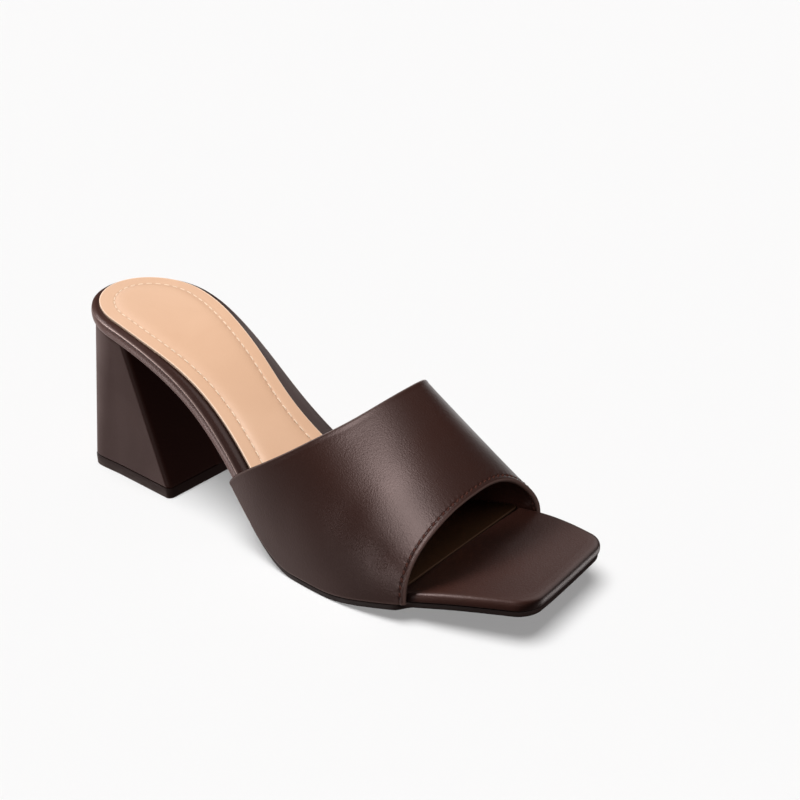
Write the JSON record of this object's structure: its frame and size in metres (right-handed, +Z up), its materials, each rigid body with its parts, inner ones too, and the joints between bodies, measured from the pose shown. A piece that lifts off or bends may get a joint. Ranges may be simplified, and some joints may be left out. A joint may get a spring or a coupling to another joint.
{
  "type": "block heel mule",
  "caption": "Right women's slip-on mule with one wide leather band, open square toe, covered board, tan insole and a flared block heel.",
  "frame": {"origin": "bottom centre of the shoe's box, on the floor", "axes": "+X from heel to toe, +Y to the inner (medial) side, +Z up"},
  "size_m": [0.24, 0.0866, 0.0825],
  "materials": {
    "outsole": "satin",
    "board_cover": "satin smooth grain",
    "sock_leather": "matte smooth",
    "upper_leather": "satin smooth grain",
    "heel_cover": "satin smooth grain",
    "lift_rubber": "matte"
  },
  "bodies": {
    "root": {"outsole": "outsole", "insole_board": "board_cover", "sock": "sock_leather", "upper": "upper_leather", "heel_block": "heel_cover", "top_lift": "lift_rubber"}
  },
  "joints": []
}
